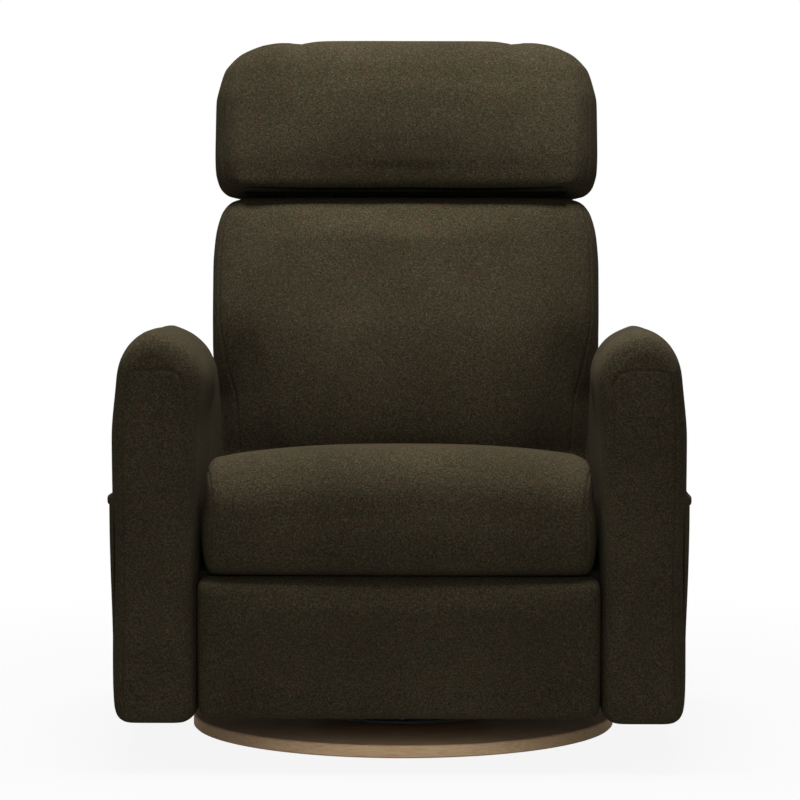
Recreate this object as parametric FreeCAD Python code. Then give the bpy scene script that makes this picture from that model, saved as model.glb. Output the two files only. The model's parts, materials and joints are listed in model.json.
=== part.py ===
import FreeCAD, Part
import math
import os

os.makedirs("parts", exist_ok=True)
Vector = FreeCAD.Vector
AXIS_X = Vector(1, 0, 0)
AXIS_Z = Vector(0, 0, 1)

# Sizes in millimetres. X is the sitter's width, -Y the front, Z up. The origin is on the floor under the swivel.

# Base disc and swivel bearing
disc_radius = 313.0
disc_thickness = 18.0
glide_height = 3.0
glide_radius = 18.0
glide_circle = 262.0
glide_count = 6
plate_thickness = 4.0
race_plate_radius = 125.0
race_radius = 100.0
roller_radius = 3.5
roller_length = 14.0
roller_count = 8
cage_thickness = 2.0
king_bolt_radius = 6.0
running_clearance = 0.08

# Rocker
axle_height = 88.0
axle_radius = 8.0
axle_end = 82.0
ear_inner = 60.0
saddle_inner = 71.0
saddle_length = 300.0
saddle_top = 116.0
spring_offset = 105.0
spring_coil_radius = 24.0
spring_wire = 6.0
spring_turns = 3
spring_end_gap = 1.0

# Chassis
plate_inner = 250.0
rail_bottom = 205.0
seat_base = 275.0
tube_side = 30.0
front_tube_y = -30.0
rear_tube_y = 140.0
pivot_radius = 5.0
pin_end = 1.9
torque_stud_radius = 8.0
torque_tube_radius = 11.0
recline_stud_radius = 7.0
crank_pin_radius = 4.0
link_half_width = 12.0

# Linkage layers, each the inner face of a flat link on the right-hand side
layer_rear = 243.0
layer_cross = 236.0
layer_bracket = 229.0
layer_rod = 218.0
layer_crank = 209.0
rod_thickness = 6.0

# Linkage pivots (Y, Z) with the legrest folded
rear_pivot = (-250.0, 250.0)
control_offset = 80.0
rear_link_drop = (95.0, -119.0)
front_link_drop = (10.0, -44.0)
legrest_reach = (-185.0, 115.0)
recline_pivot = (165.0, 290.0)
recline_range = 35.0
legrest_range = 90.0
crank_radius = 50.0

# Arms
arm_inner = 283.0
arm_outer = 397.0
arm_bottom = 67.0
arm_top = 612.0
arm_front = -420.0
arm_rear = 235.0
arm_inner_rounding = 2.2
pocket_top = 380.0
pocket_bottom = 165.0
pocket_front = -398.0
pocket_rear = -60.0
pocket_bulge = 8.5
pocket_cloth = 1.8
arm_frame_thickness = 18.0

# Cushions
seat_half_width = 275.0
seat_front = -414.0
seat_rear = 104.0
seat_crown = 422.0
seat_edge = 408.0
legrest_half_width = 279.5
legrest_bottom = 73.0
legrest_top = 271.0
legrest_front = -418.0
legrest_board_back = -356.0
legrest_board_thickness = 12.0

# Back and headrest, upright about the recline pivot before they lean
back_lean = 13.0
back_low_half_width = 278.0
back_widening = 21.0
back_front = -76.0
frame_front = 20.0
frame_back = 45.0
shell_back = 70.0
back_bottom = 42.0
shell_bottom = -12.0
back_top = 498.0
headrest_bottom = 504.0
headrest_top = 745.0
headrest_half_width = 295.0
headrest_pivot = (-52.0, 501.0)
headrest_board_front = 4.0
headrest_board_back = 16.0
stile_outer = 243.0
stile_width = 30.0
hinge_x = 150.0
hinge_half_width = 36.0
leaf_thickness = 2.0
knuckle_radius = 4.5

# Heights that follow from the stack on the floor
disc_top = glide_height + disc_thickness
lower_plate_top = disc_top + plate_thickness
roller_height = lower_plate_top + roller_radius
upper_plate_bottom = roller_height + roller_radius
upper_plate_top = upper_plate_bottom + plate_thickness
rocker_plate_top = upper_plate_top + plate_thickness
plate_outer = plate_inner + plate_thickness
arm_middle = (arm_inner + arm_outer) / 2
arch_radius = (arm_outer - arm_inner) / 2
arm_frame_inner = arm_middle - arm_frame_thickness / 2
arm_frame_outer = arm_middle + arm_frame_thickness / 2


def save(name, shape):
    shape.exportStep(f"parts/{name}.step")
    print(name, round(shape.Volume / 1000, 1), "cm3")


def at(point, x=0.0):
    return Vector(x, point[0], point[1])


def moved(point, step):
    return (point[0] + step[0], point[1] + step[1])


def mirrored(shape):
    return shape.mirror(Vector(0, 0, 0), AXIS_X)


def both_sides(shape):
    return Part.makeCompound([shape, mirrored(shape)])


def box(low, high):
    size = Vector(*high) - Vector(*low)
    return Part.makeBox(size.x, size.y, size.z, Vector(*low))


def cylinder_x(centre, radius, x_start, x_end):
    return Part.makeCylinder(radius, x_end - x_start, at(centre, x_start), AXIS_X)


def cylinder_z(x, y, radius, z_start, z_end):
    return Part.makeCylinder(radius, z_end - z_start, Vector(x, y, z_start), AXIS_Z)


def wire_through(start, steps):
    # A step of one point is a line, and a step of two is an arc through the first to the second.
    edges = []
    here = start
    for step in steps:
        if len(step) == 1:
            edges.append(Part.LineSegment(here, step[0]).toShape())
        else:
            edges.append(Part.Arc(here, step[0], step[1]).toShape())
        here = step[-1]
    return Part.Wire(edges)


def plate_yz(points, x, thickness):
    corners = [at(point, x) for point in points]
    return Part.Face(Part.makePolygon(corners + corners[:1])).extrude(AXIS_X * thickness)


def link(start, end, x, thickness=plate_thickness, half_width=link_half_width):
    first = at(start, x)
    last = at(end, x)
    along = (last - first).normalize() * half_width
    across = Vector(0, -along.z, along.y)
    outline = wire_through(
        first + across,
        [[last + across], [last + along, last - across], [first - across], [first - along, first + across]],
    )
    return Part.Face(outline).extrude(AXIS_X * thickness)


def drilled(shape, holes, x_start=0.0, x_end=400.0):
    for centre, radius in holes:
        shape = shape.cut(cylinder_x(centre, radius, x_start, x_end))
    return shape


def pinned(shape, centres, x_start, x_end, radius=pivot_radius):
    pins = [cylinder_x(centre, radius, x_start, x_end) for centre in centres]
    return shape.fuse(pins).removeSplitter()


def leaned(shape):
    turned = shape.copy()
    turned.translate(at(recline_pivot))
    turned.rotate(at(recline_pivot), AXIS_X, -back_lean)
    return turned


def pivot_on_circle(centre, radius, degrees_behind):
    angle = math.radians(degrees_behind)
    return (centre[0] + radius * math.sin(angle), centre[1] - radius * math.cos(angle))


# The legrest linkage is two parallelograms, so its panel turns about one point in space.
cross_pivot = moved(rear_pivot, rear_link_drop)
lower_pivot = moved(cross_pivot, front_link_drop)
control_pivot = (rear_pivot[0] + control_offset, rear_pivot[1])
control_end = (cross_pivot[0] + control_offset, cross_pivot[1])
panel_pivot = moved(cross_pivot, legrest_reach)
panel_lower_pivot = moved(lower_pivot, legrest_reach)
crank_sweep = legrest_range / 2
lever_sweep = recline_range / 2
lever_radius = crank_radius * math.sin(math.radians(crank_sweep)) / math.sin(math.radians(lever_sweep))
lever_pin = pivot_on_circle(recline_pivot, lever_radius, lever_sweep)
crank_pin = pivot_on_circle(rear_pivot, crank_radius, crank_sweep)


def base_disc():
    disc = cylinder_z(0, 0, disc_radius, glide_height, disc_top)
    disc = disc.makeChamfer(2.0, [edge for edge in disc.Edges if edge.Closed])
    disc = disc.cut(cylinder_z(0, 0, king_bolt_radius, 0, disc_top))
    disc = disc.cut(cylinder_z(0, 0, 14.0, 0, glide_height + 8.0))
    return disc


def on_circle(radius, count):
    turns = [2 * math.pi * step / count for step in range(count)]
    return [(radius * math.cos(turn), radius * math.sin(turn)) for turn in turns]


def floor_glides():
    places = on_circle(glide_circle, glide_count)
    pads = [cylinder_z(x, y, glide_radius, 0, glide_height) for x, y in places]
    pads.append(cylinder_z(0, 0, 22.0, 0, glide_height))
    return Part.makeCompound(pads)


def race_plate(bottom, bore):
    plate = cylinder_z(0, 0, race_plate_radius, bottom, bottom + plate_thickness)
    return plate.cut(cylinder_z(0, 0, bore, bottom, bottom + plate_thickness))


def swivel_lower_plate():
    return race_plate(disc_top, king_bolt_radius)


def swivel_king_bolt():
    head = cylinder_z(0, 0, 12.0, glide_height, glide_height + 8.0)
    shank = cylinder_z(0, 0, king_bolt_radius, glide_height, rocker_plate_top + 14.0)
    nut = Part.Face(Part.makePolygon(hexagon(13.0, rocker_plate_top + 0.4))).extrude(AXIS_Z * 10.0)
    return shank.fuse([head, nut]).removeSplitter()


def hexagon(radius, z):
    corners = [Vector(x, y, z) for x, y in on_circle(radius, 6)]
    return corners + corners[:1]


def bearing_roller(radius, length):
    low = Vector(race_radius - length / 2, 0, roller_height)
    return Part.makeCylinder(radius, length, low, AXIS_X)


def around_race(shape):
    turns = [360.0 * step / roller_count for step in range(roller_count)]
    return [shape.copy().rotate(Vector(0, 0, 0), AXIS_Z, turn) for turn in turns]


def bearing_rollers():
    return Part.makeCompound(around_race(bearing_roller(roller_radius - 0.02, roller_length)))


def bearing_cage():
    low = roller_height - cage_thickness / 2
    half_ring = roller_length / 2 + 6.0
    cage = cylinder_z(0, 0, race_radius + half_ring, low, low + cage_thickness)
    cage = cage.cut(cylinder_z(0, 0, race_radius - half_ring, low, low + cage_thickness))
    half_window = (roller_length / 2 + 0.3, roller_radius + 0.2)
    window = box(
        (race_radius - half_window[0], -half_window[1], low),
        (race_radius + half_window[0], half_window[1], low + cage_thickness),
    )
    return cage.cut(around_race(window))


def swivel_upper_plate():
    return race_plate(upper_plate_bottom, king_bolt_radius + running_clearance)


def ear_outline(half_foot, foot_z, x):
    # An upright ear with a round head about the axle.
    head = 17.0
    lean = math.radians(20)
    side = Vector(0, head * math.cos(lean), head * math.sin(lean))
    top = Vector(x, 0, axle_height)
    left = top + Vector(0, -side.y, side.z)
    right = top + side
    return wire_through(
        Vector(x, -half_foot, foot_z),
        [[left], [top + Vector(0, 0, head), right], [Vector(x, half_foot, foot_z)], [Vector(x, -half_foot, foot_z)]],
    )


def rocker_base():
    half_length = saddle_length / 2 - 5.0
    plate = box((-66.0, -half_length, upper_plate_top), (66.0, half_length, rocker_plate_top))
    corners = [edge for edge in plate.Edges if abs(edge.tangentAt(edge.FirstParameter).z) > 0.9]
    plate = plate.makeChamfer(14.0, corners)
    seat_radius = spring_coil_radius - spring_wire / 2 - 2.0
    for y in (-spring_offset, spring_offset):
        plate = plate.fuse(cylinder_z(0, y, seat_radius, rocker_plate_top, rocker_plate_top + 8.0))
    plate = plate.cut(cylinder_z(0, 0, king_bolt_radius + running_clearance, upper_plate_top, rocker_plate_top))
    return plate.removeSplitter()


def rocker_ears():
    ear = Part.Face(ear_outline(48.0, rocker_plate_top, ear_inner)).extrude(AXIS_X * plate_thickness)
    return both_sides(drilled(ear, [((0.0, axle_height), axle_radius)]))


def rocker_axle():
    centre = (0.0, axle_height)
    head_inner = axle_end - 4.0
    heads = [cylinder_x(centre, 13.0, -axle_end, -head_inner), cylinder_x(centre, 13.0, head_inner, axle_end)]
    return cylinder_x(centre, axle_radius, -axle_end, axle_end).fuse(heads).removeSplitter()


def coil_point(turn, y, bottom, pitch):
    angle = 2 * math.pi * turn
    x = spring_coil_radius * math.cos(angle)
    return Vector(x, y + spring_coil_radius * math.sin(angle), bottom + pitch * turn)


def coil_tangent(turn, pitch):
    angle = 2 * math.pi * turn
    around = 2 * math.pi * spring_coil_radius
    return Vector(-around * math.sin(angle), around * math.cos(angle), pitch).normalize()


def biarc(start, start_way, end, end_way):
    # Two arcs that leave one point along its tangent and reach the next along its own.
    chord = end - start
    ways = start_way + end_way
    square = 2 * (1 - start_way.dot(end_way))
    along = chord.dot(ways)
    reach = (math.sqrt(along * along + square * chord.dot(chord)) - along) / square
    middle = (start + start_way * reach + end - end_way * reach) * 0.5
    return [arc_from(start, start_way, middle), arc_from(end, end_way * -1, middle)]


def arc_from(start, way, end):
    chord = end - start
    normal = way.cross(chord).cross(way).normalize()
    radius = chord.dot(chord) / (2 * chord.dot(normal))
    centre = start + normal * radius
    outward = ((start + end) * 0.5 - centre).normalize()
    return Part.Arc(start, centre + outward * radius, end).toShape()


def coil_spring(y):
    bottom = rocker_plate_top + spring_wire / 2 + spring_end_gap
    top = saddle_top - spring_wire / 2 - spring_end_gap
    pitch = (top - bottom) / spring_turns
    edges = []
    for quarter in range(spring_turns * 4):
        first = quarter / 4
        last = (quarter + 1) / 4
        ways = (coil_tangent(first, pitch), coil_tangent(last, pitch))
        ends = (coil_point(first, y, bottom, pitch), coil_point(last, y, bottom, pitch))
        edges += biarc(ends[0], ways[0], ends[1], ways[1])
    path = Part.Wire(Part.__sortEdges__(edges))
    print("spring gap between turns", round(coil_gap(y, bottom, pitch), 2), "mm")
    return path.makePipeShell([wire_profile(coil_point(0, y, bottom, pitch), coil_tangent(0, pitch))], True, False)


def wire_profile(centre, way):
    # A flat-sided spring wire, cut square to its run.
    side = AXIS_X * (spring_wire / 2)
    rise = way.cross(AXIS_X).normalize() * (spring_wire / 2)
    corners = [centre + side + rise, centre - side + rise, centre - side - rise, centre + side - rise]
    return Part.makePolygon(corners + corners[:1])


def coil_gap(y, bottom, pitch):
    steps = 48
    points = [coil_point(step / steps, y, bottom, pitch) for step in range(spring_turns * steps + 1)]
    apart = [
        (points[i] - points[j]).Length
        for i in range(len(points))
        for j in range(i + steps // 2, len(points))
    ]
    return min(apart) - spring_wire * math.sqrt(2)


def rocker_saddle():
    half = saddle_length / 2
    outer = saddle_inner + plate_thickness
    return box((-outer, -half, saddle_top), (outer, half, saddle_top + plate_thickness))


def saddle_flanges():
    # The saddle's sides hang from its top and swell round the axle.
    half = saddle_length / 2
    edge = saddle_top - 14.0
    waist = (34.0, axle_height - 10.0)
    outline = wire_through(
        Vector(saddle_inner, -half, saddle_top),
        [
            [Vector(saddle_inner, -half, edge)],
            [Vector(saddle_inner, -waist[0], waist[1])],
            [Vector(saddle_inner, 0, axle_height - 22.0), Vector(saddle_inner, waist[0], waist[1])],
            [Vector(saddle_inner, half, edge)],
            [Vector(saddle_inner, half, saddle_top)],
            [Vector(saddle_inner, -half, saddle_top)],
        ],
    )
    flange = Part.Face(outline).extrude(AXIS_X * plate_thickness)
    return both_sides(drilled(flange, [((0.0, axle_height), axle_radius + 3.0)]))


def axle_bushes():
    centre = (0.0, axle_height)
    sleeve = cylinder_x(centre, axle_radius + 3.0, saddle_inner, saddle_inner + plate_thickness)
    collar = cylinder_x(centre, 15.0, saddle_inner - 2.0, saddle_inner)
    bush = sleeve.fuse(collar).removeSplitter()
    return both_sides(drilled(bush, [(centre, axle_radius + running_clearance)]))


def chassis_tube(y):
    low = saddle_top + plate_thickness
    half = tube_side / 2
    tube = box((-plate_inner, y - half, low), (plate_inner, y + half, low + tube_side))
    tube = tube.makeChamfer(3.0, [tube.Edges[i] for i in x_edges(tube)])
    wall = 2.5
    hollow = box((-plate_inner, y - half + wall, low + wall), (plate_inner, y + half - wall, low + tube_side - wall))
    return tube.cut(hollow)


def side_plate():
    top = seat_base - 2.0
    outline = [
        (-276.0, top),
        (118.0, top),
        (140.0, recline_pivot[1] + 22.0),
        (188.0, recline_pivot[1] + 22.0),
        (176.0, 210.0),
        (162.0, 112.0),
        (-60.0, 112.0),
        (-120.0, 196.0),
        (-276.0, 226.0),
    ]
    plate = plate_yz(outline, plate_inner, plate_thickness)
    plate = plate.makeChamfer(8.0, [plate.Edges[i] for i in x_edges(plate)])
    plate = drilled(plate, [((55.0, 185.0), 28.0)])
    plate = pinned(plate, [rear_pivot], layer_crank - 4.0, plate_outer, torque_stud_radius)
    plate = pinned(plate, [control_pivot], layer_rear - pin_end, plate_outer)
    return pinned(plate, [recline_pivot], layer_rear - pin_end, plate_outer, recline_stud_radius)


def x_edges(shape):
    ways = [edge.tangentAt(edge.FirstParameter) for edge in shape.Edges]
    return [i for i, way in enumerate(ways) if abs(way.x) > 0.9]


def seat_rail():
    return box((plate_outer, -350.0, rail_bottom), (arm_inner, 118.0, seat_base))


def seat_front_bar():
    return box((-plate_inner, -335.0, 263.0), (plate_inner, -300.0, seat_base - 2.0))


def seat_rear_bar():
    return box((-plate_inner, 84.0, 250.0), (plate_inner, 116.0, seat_base - 2.0))


def seat_webbing():
    straps = []
    for step in range(5):
        x = (step - 2) * 88.0
        straps.append(box((x - 27.0, -330.0, seat_base - 2.0), (x + 27.0, 112.0, seat_base)))
    return Part.makeCompound(straps)


def rear_panel():
    # The upholstered board that closes the chassis behind, between the arms and under the back.
    panel = box((-arm_inner, 219.0, 74.0), (arm_inner, 232.0, 218.0))
    return panel.makeChamfer(3.0, [panel.Edges[i] for i in x_edges(panel)])


def crowned_section(y, half_width, low, edge, crown):
    # A cushion cut across its width: flat under, drawn-in sides and a crowned top.
    corner = half_width - 26.0
    middle = (low + edge) / 2
    return wire_through(
        Vector(-half_width + 8.0, y, low),
        [
            [Vector(half_width - 8.0, y, low)],
            [Vector(half_width, y, middle), Vector(half_width - 4.0, y, edge - 24.0)],
            [Vector(half_width - 10.0, y, edge - 9.0), Vector(corner, y, edge)],
            [Vector(0, y, crown), Vector(-corner, y, edge)],
            [Vector(-half_width + 10.0, y, edge - 9.0), Vector(-half_width + 4.0, y, edge - 24.0)],
            [Vector(-half_width, y, middle), Vector(-half_width + 8.0, y, low)],
        ],
    )


def seat_cushion():
    stations = [
        (seat_front, 26.0, 20.0, 36.0),
        (seat_front + 3.0, 15.0, 12.0, 24.0),
        (seat_front + 10.0, 6.0, 5.0, 12.0),
        (seat_front + 22.0, 1.5, 1.0, 5.0),
        (seat_front + 50.0, 0.0, 0.0, 1.0),
        (-180.0, 0.0, 0.0, 0.0),
        (20.0, 0.0, 0.0, 3.0),
        (seat_rear - 18.0, 1.0, 0.0, 8.0),
        (seat_rear - 5.0, 5.0, 2.0, 16.0),
        (seat_rear, 14.0, 6.0, 28.0),
    ]
    wires = []
    for y, inset, rise, drop in stations:
        low = seat_base + rise
        wires.append(crowned_section(y, seat_half_width - inset, low, seat_edge - drop, seat_crown - drop))
    return Part.makeLoft(wires, True, True)


def arm_section(y, inset, top, low, inner_inset):
    inner = arm_inner + inner_inset
    outer = arm_outer - inset
    shoulder = top - arch_radius + inset + 2.0
    foot = low + 18.0
    corner = 12.7
    return wire_through(
        Vector(inner + 18.0, y, low),
        [
            [Vector(outer - 18.0, y, low)],
            [Vector(outer - 18.0 + corner, y, foot - corner), Vector(outer, y, foot)],
            [Vector(outer, y, shoulder)],
            [Vector((inner + outer) / 2, y, top), Vector(inner, y, shoulder)],
            [Vector(inner, y, foot)],
            [Vector(inner + 18.0 - corner, y, foot - corner), Vector(inner + 18.0, y, low)],
        ],
    )


def arm_body():
    # Each station is a place along Y with its inset, its drop from the top and its rise from the bottom.
    # The top runs down towards the rear and turns down steeply there, clear of the wide part of the back.
    stations = [
        (arm_front, 13.0, 26.0, 13.0),
        (arm_front + 2.0, 7.0, 17.0, 7.0),
        (arm_front + 7.0, 2.5, 9.0, 2.5),
        (arm_front + 17.0, 0.5, 3.5, 0.0),
        (arm_front + 34.0, 0.0, 1.0, 0.0),
        (arm_front + 56.0, 0.0, 0.0, 0.0),
        (30.0, 0.0, 18.0, 0.0),
        (70.0, 0.0, 24.0, 0.0),
        (104.0, 0.0, 36.0, 0.0),
        (132.0, 0.0, 56.0, 0.0),
        (155.0, 0.0, 85.0, 0.0),
        (175.0, 0.0, 123.0, 0.0),
        (195.0, 0.0, 172.0, 0.0),
        (arm_rear - 20.0, 0.0, 232.0, 0.0),
        (arm_rear - 6.0, 4.0, 280.0, 4.0),
        (arm_rear, 14.0, 308.0, 14.0),
    ]
    wires = []
    for y, inset, drop, rise in stations:
        inner_inset = inset * arm_inner_rounding if y < 0.0 else inset
        wires.append(arm_section(y, inset, arm_top - drop, arm_bottom + rise, inner_inset))
    return Part.makeLoft(wires, True, True)


def arm_frame_blank():
    front = arm_front + 40.0
    rear = arm_rear - 40.0
    top = arm_top - 45.0
    outline = [
        (front, arm_bottom),
        (front, top),
        (80.0, top),
        (130.0, top - 60.0),
        (rear, top - 190.0),
        (rear, arm_bottom),
    ]
    return plate_yz(outline, arm_frame_inner, arm_frame_outer - arm_frame_inner)


def arm_frame():
    panel = arm_frame_blank()
    for y in (-290.0, -60.0):
        panel = panel.cut(box((arm_frame_inner, y - 70.0, 300.0), (arm_frame_outer, y + 70.0, 470.0)))
    return panel


def arm_upholstery():
    return arm_body().cut(arm_frame_blank())


def pocket_section(y, bulge, bottom, top):
    middle = (bottom + top) / 2
    return wire_through(
        Vector(arm_outer, y, bottom),
        [
            [Vector(arm_outer + bulge * 0.9, y, middle), Vector(arm_outer + bulge, y, top)],
            [Vector(arm_outer, y, top)],
            [Vector(arm_outer, y, bottom)],
        ],
    )


def arm_pocket():
    low = pocket_bottom
    high = pocket_top
    inset = 16.0
    span = [pocket_front, pocket_front + inset, pocket_rear - inset, pocket_rear]
    outer = [pocket_section(y, b, low, high) for y, b in zip(span, (1.0, pocket_bulge, pocket_bulge, 1.0))]
    hollow_bulge = pocket_bulge - pocket_cloth
    hollow_span = [span[0] + 6.0, span[1] + 2.0, span[2] - 2.0, span[3] - 6.0]
    hollow_parts = zip(hollow_span, (0.6, hollow_bulge, hollow_bulge, 0.6))
    hollow = [pocket_section(y, b, low + 20.0, high + 20.0) for y, b in hollow_parts]
    return Part.makeLoft(outer, True, True).cut(Part.makeLoft(hollow, True, True))


def torque_tube():
    end = layer_rear + plate_thickness
    tube = cylinder_x(rear_pivot, torque_tube_radius, -end, end)
    return tube.cut(cylinder_x(rear_pivot, torque_stud_radius + running_clearance, -end, end))


def torque_cranks():
    # Each crank has a slot along its arm, because the push rod's pin draws nearer to the tube at mid-travel.
    crank = link(rear_pivot, crank_pin, layer_crank, plate_thickness, 17.0)
    slot_inner = pivot_on_circle(rear_pivot, crank_radius - 11.0, crank_sweep)
    slot_outer = pivot_on_circle(rear_pivot, crank_radius + 1.0, crank_sweep)
    crank = crank.cut(link(slot_inner, slot_outer, layer_crank, plate_thickness, 6.2))
    return both_sides(drilled(crank, [(rear_pivot, torque_tube_radius)]))


def rear_link():
    arm = link(rear_pivot, lower_pivot, layer_rear)
    eye = cylinder_x(rear_pivot, 17.0, layer_rear, layer_rear + plate_thickness)
    arm = arm.fuse([eye, link(rear_pivot, cross_pivot, layer_rear)]).removeSplitter()
    arm = drilled(arm, [(rear_pivot, torque_tube_radius)])
    return pinned(arm, [cross_pivot, lower_pivot], layer_cross - pin_end, layer_rear)


def control_link():
    arm = link(control_pivot, control_end, layer_rear)
    arm = drilled(arm, [(control_pivot, pivot_radius + running_clearance)])
    return pinned(arm, [control_end], layer_cross - pin_end, layer_rear)


def cross_link():
    arm = link(cross_pivot, panel_pivot, layer_cross).fuse(link(control_end, cross_pivot, layer_cross))
    holes = [(p, pivot_radius + running_clearance) for p in (control_end, cross_pivot, panel_pivot)]
    return drilled(arm.removeSplitter(), holes)


def front_link():
    arm = link(lower_pivot, panel_lower_pivot, layer_cross)
    return drilled(arm, [(p, pivot_radius + running_clearance) for p in (lower_pivot, panel_lower_pivot)])


def legrest_bracket():
    face = legrest_board_back
    outline = [
        (face, panel_pivot[1] + 14.0),
        (panel_pivot[0] + 4.0, panel_pivot[1] + 12.0),
        (panel_lower_pivot[0] + 13.0, panel_lower_pivot[1]),
        (panel_lower_pivot[0] + 2.0, panel_lower_pivot[1] - 16.0),
        (face + 10.0, 110.0),
        (face, 110.0),
    ]
    web = plate_yz(outline, layer_bracket, plate_thickness)
    flange = box((layer_bracket - 28.0, face, 110.0), (layer_bracket, face + 4.0, panel_pivot[1] + 10.0))
    bracket = web.fuse(flange).removeSplitter()
    return pinned(bracket, [panel_pivot, panel_lower_pivot], layer_bracket, layer_cross + plate_thickness + pin_end)


def legrest_board():
    front = legrest_board_back - legrest_board_thickness
    return box((-262.0, front, legrest_bottom + 12.0), (262.0, legrest_board_back, legrest_top - 12.0))


def panel_section(y, inset):
    half = legrest_half_width - inset
    low = legrest_bottom + inset
    high = legrest_top - inset
    corner = 12.0
    turn = corner * (1 - math.sqrt(0.5))
    return wire_through(
        Vector(-half + corner, y, low),
        [
            [Vector(half - corner, y, low)],
            [Vector(half - turn, y, low + turn), Vector(half, y, low + corner)],
            [Vector(half, y, high - corner)],
            [Vector(half - turn, y, high - turn), Vector(half - corner, y, high)],
            [Vector(-half + corner, y, high)],
            [Vector(-half + turn, y, high - turn), Vector(-half, y, high - corner)],
            [Vector(-half, y, low + corner)],
            [Vector(-half + turn, y, low + turn), Vector(-half + corner, y, low)],
        ],
    )


def legrest_pad():
    stations = [
        (legrest_board_back, 5.0),
        (legrest_board_back - 5.0, 1.0),
        (legrest_board_back - 12.0, 0.0),
        (legrest_front + 24.0, 0.0),
        (legrest_front + 11.0, 2.5),
        (legrest_front + 4.0, 8.0),
        (legrest_front + 1.0, 16.0),
        (legrest_front, 34.0),
    ]
    wires = [panel_section(y, inset) for y, inset in stations]
    return Part.makeLoft(wires, True, True).cut(legrest_board())


def push_rod():
    rod = link(lever_pin, crank_pin, layer_rod, rod_thickness, 9.0)
    rod = pinned(rod, [lever_pin], layer_rod, layer_rear + plate_thickness + pin_end)
    return pinned(rod, [crank_pin], layer_crank - pin_end, layer_rod, crank_pin_radius)


def back_bracket():
    stem = box((layer_rear, frame_front + 1.0, 30.0), (layer_rear + plate_thickness, frame_back - 1.0, 250.0))
    stem = leaned(stem)
    knee_outline = [
        (-14.0, 0.0),
        (frame_front + 1.0, back_bottom - 4.0),
        (frame_back - 1.0, 60.0),
        (14.0, -8.0),
    ]
    knee = leaned(plate_yz(knee_outline, layer_rear, plate_thickness))
    lever = link(recline_pivot, lever_pin, layer_rear, plate_thickness, 14.0)
    eye = cylinder_x(recline_pivot, 19.0, layer_rear, layer_rear + plate_thickness)
    bracket = lever.fuse([stem, knee, eye]).removeSplitter()
    bracket = drilled(bracket, [(recline_pivot, recline_stud_radius + running_clearance)])
    return drilled(bracket, [(lever_pin, pivot_radius + running_clearance)])


def back_frame():
    outer = box((-stile_outer, frame_front, back_bottom + 6.0), (stile_outer, frame_back, back_top - 14.0))
    inner_low = (-stile_outer + stile_width, frame_front, back_bottom + 46.0)
    inner_high = (stile_outer - stile_width, frame_back, back_top - 50.0)
    return leaned(outer.cut(box(inner_low, inner_high)))


def back_webbing():
    straps = []
    inner = stile_outer - stile_width
    for step in range(4):
        z = back_bottom + 95.0 + step * 90.0
        straps.append(leaned(box((-inner, frame_front + 6.0, z - 25.0), (inner, frame_front + 8.0, z + 25.0))))
    return Part.makeCompound(straps)


def back_half_width(z):
    # The back is narrow between the arms, widens over their round tops and draws in at the cleft.
    widening = (190.0, 300.0)
    rise = min(max((z - widening[0]) / (widening[1] - widening[0]), 0.0), 1.0)
    widened = back_low_half_width + back_widening * math.sin(rise * math.pi / 2)
    draw_in = max((z - 400.0) / (back_top - 400.0), 0.0)
    return widened - 20.0 * draw_in ** 2


def back_section(z, inset, depth_inset):
    half = back_half_width(z) - inset
    front = back_front + depth_inset
    corner = half - 34.0
    return wire_through(
        Vector(-half, frame_front, z),
        [
            [Vector(half, frame_front, z)],
            [Vector(half - 1.0, front + 46.0, z)],
            [Vector(half - 10.0, front + 24.0, z), Vector(corner, front + 12.0, z)],
            [Vector(0, front, z), Vector(-corner, front + 12.0, z)],
            [Vector(-half + 10.0, front + 24.0, z), Vector(-half + 1.0, front + 46.0, z)],
            [Vector(-half, frame_front, z)],
        ],
    )


def back_stations():
    # Each station is a height with its inset at the sides and at the front.
    return [
        (back_bottom, 12.0, 26.0),
        (back_bottom + 4.0, 5.0, 14.0),
        (back_bottom + 14.0, 1.0, 5.0),
        (back_bottom + 40.0, 0.0, 0.0),
        (190.0, 0.0, 0.0),
        (215.0, 0.0, 0.0),
        (240.0, 0.0, 0.0),
        (270.0, 0.0, 0.0),
        (300.0, 0.0, 0.0),
        (400.0, 0.0, 0.0),
        (440.0, 0.0, 0.0),
        (back_top - 30.0, 0.0, 2.0),
        (back_top - 14.0, 3.0, 8.0),
        (back_top - 4.0, 9.0, 18.0),
        (back_top, 20.0, 34.0),
    ]


def back_cushion():
    wires = [back_section(z, inset, depth) for z, inset, depth in back_stations()]
    return leaned(Part.makeLoft(wires, True, True))


def shell_section(z, inset):
    half = back_half_width(z) - inset
    back = shell_back - inset * 0.8
    corner = half - 26.0
    return wire_through(
        Vector(-half, frame_front, z),
        [
            [Vector(half, frame_front, z)],
            [Vector(half - 1.0, back - 22.0, z)],
            [Vector(half - 7.0, back - 8.0, z), Vector(corner, back - 2.0, z)],
            [Vector(0, back, z), Vector(-corner, back - 2.0, z)],
            [Vector(-half + 7.0, back - 8.0, z), Vector(-half + 1.0, back - 22.0, z)],
            [Vector(-half, frame_front, z)],
        ],
    )


def back_shell():
    stations = [(shell_bottom, 10.0), (shell_bottom + 6.0, 2.0), (shell_bottom + 16.0, 0.0)]
    stations += [(z, inset) for z, inset, depth in back_stations()[4:]]
    shell = Part.makeLoft([shell_section(z, inset) for z, inset in stations], True, True)
    half = stile_outer + plate_thickness + 1.0
    hollow = box((-half, frame_front, 0.0), (half, frame_back + 0.5, back_top - 13.5))
    below = box((-300.0, frame_front, shell_bottom), (300.0, frame_back + 0.5, back_bottom))
    return leaned(shell.cut([hollow, below]))


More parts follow.
